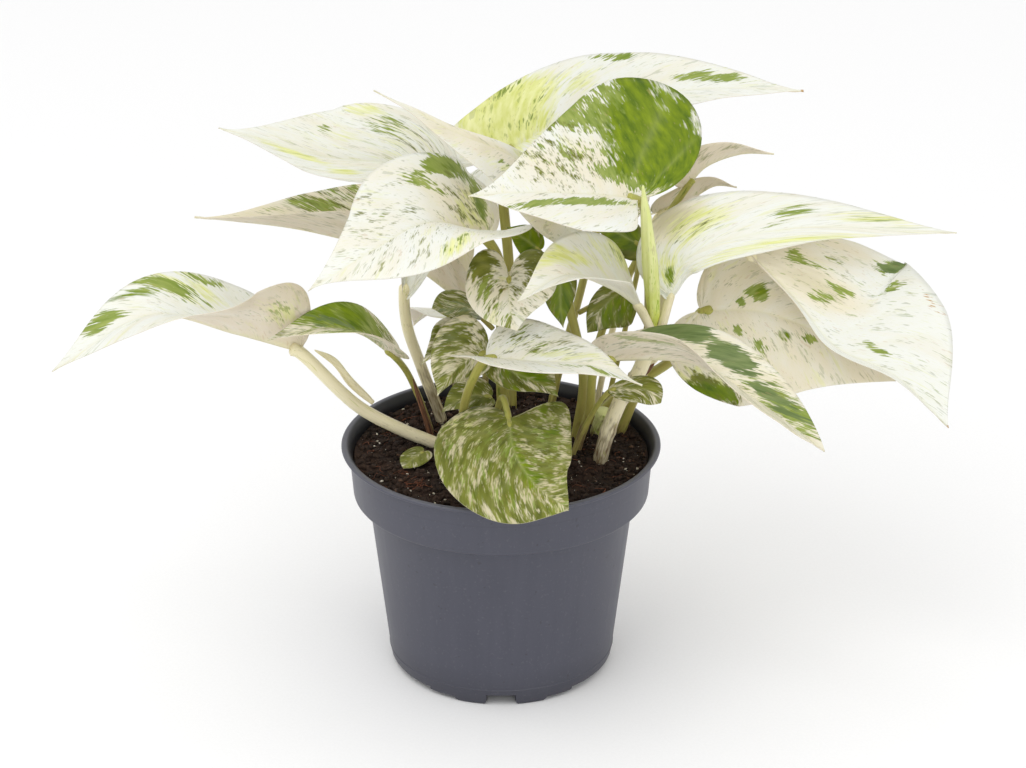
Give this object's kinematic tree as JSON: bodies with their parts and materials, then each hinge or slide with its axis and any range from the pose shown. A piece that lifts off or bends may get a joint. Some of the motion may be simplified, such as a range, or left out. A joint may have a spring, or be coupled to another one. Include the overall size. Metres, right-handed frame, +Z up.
{
  "type": "potted pothos plant",
  "caption": "White-variegated pothos with heart-shaped leaves on long stalks, rooted in soil in a round tapered plastic nursery pot.",
  "frame": {"origin": "on the pot's axis, on the surface that the pot stands on", "axes": "+Z up along the pot's axis; -Y is the front of the plant, as pictured; +X to the right seen from the front"},
  "size_m": [0.3281, 0.1575, 0.2282],
  "materials": {
    "pot": "satin grey moulded plastic",
    "soil": "moist peat with white perlite specks and fibres",
    "white_blade": "satin, white with green flecks",
    "cream_blade": "satin, cream underside",
    "green_blade": "satin, green marbled with cream",
    "dark_blade": "satin, dark green marbled with cream",
    "young_green": "satin, yellow-green",
    "stalk": "satin, cream to yellow-green",
    "dried_sheath": "matt, papery brown"
  },
  "bodies": {
    "root": {"leaf_back_centre": "green_blade", "leaf_back_left": "white_blade", "leaf_back_low": "green_blade", "leaf_back_right": "white_blade", "leaf_centre_curled": "white_blade", "leaf_centre_white": "white_blade", "leaf_crossing": "white_blade", "leaf_far_left": "white_blade", "leaf_front_left": "white_blade", "leaf_heart_marbled": "green_blade", "leaf_inner_folded": "green_blade", "leaf_inner_left": "dark_blade", "leaf_inner_left_tip": "green_blade", "leaf_inner_low": "dark_blade", "leaf_inner_right": "green_blade", "leaf_inner_soil": "dark_blade", "leaf_inner_strip": "dark_blade", "leaf_inner_tip": "dark_blade", "leaf_inner_top": "dark_blade", "leaf_left_back": "cream_blade", "leaf_left_green": "dark_blade", "leaf_new_rolled": "young_green", "leaf_over_rim": "green_blade", "leaf_right_back": "cream_blade", "leaf_right_back_lower": "cream_blade", "leaf_right_cream": "cream_blade", "leaf_right_folded": "dark_blade", "leaf_right_inner": "cream_blade", "leaf_right_long": "white_blade", "leaf_right_small": "dark_blade", "leaf_right_white": "white_blade", "leaf_seedling": "green_blade", "leaf_top_back": "young_green", "leaf_top_centre": "green_blade", "leaf_upper_left": "white_blade", "petiole_centre_white": "stalk", "petiole_crossing": "stalk", "petiole_far_left": "stalk", "petiole_front_left": "stalk", "petiole_left_back": "stalk", "petiole_left_green": "stalk", "petiole_right_back": "stalk", "petiole_right_cream": "stalk", "petiole_right_folded": "stalk", "petiole_top_back": "stalk", "petiole_top_centre": "stalk", "petiole_upper_left": "stalk", "pot": "pot", "sheath_far_left": "stalk", "sheath_left_brown": "dried_sheath", "sheath_right_brown": "dried_sheath", "soil": "soil", "vine_centre": "stalk", "vine_main": "stalk", "vine_stub": "young_green"}
  },
  "joints": []
}
